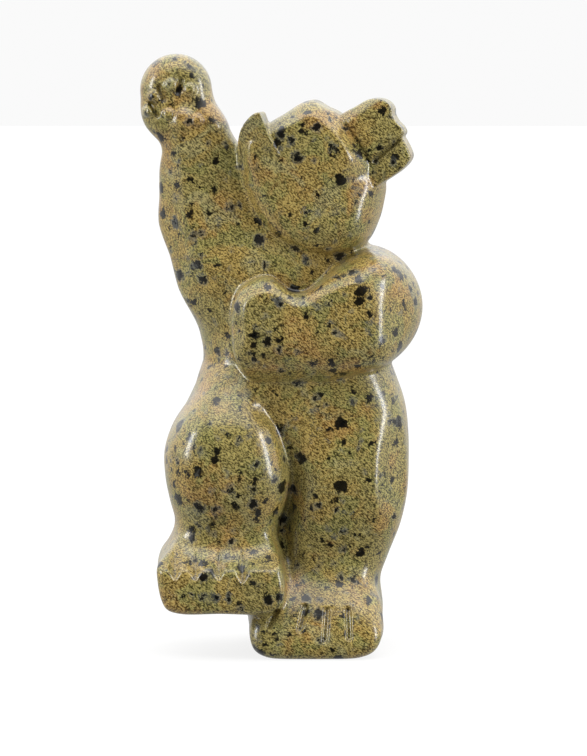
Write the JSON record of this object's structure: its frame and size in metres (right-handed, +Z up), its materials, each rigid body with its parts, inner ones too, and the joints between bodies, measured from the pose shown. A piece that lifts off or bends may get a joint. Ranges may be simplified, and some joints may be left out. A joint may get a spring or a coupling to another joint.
{
  "type": "bear statuette",
  "caption": "Dancing bear carved in one piece from speckled soapstone, one arm raised and one foot lifted, standing on its flat sole.",
  "frame": {"origin": "on the surface the bear stands on, under the middle of its box", "axes": "+Z up along the raised arm, -Y is the front that the chest faces, +X towards the bear's bent left arm"},
  "size_m": [0.0937, 0.0695, 0.1977],
  "materials": {
    "soapstone": "polished"
  },
  "bodies": {
    "root": {"bear": "soapstone"}
  },
  "joints": []
}
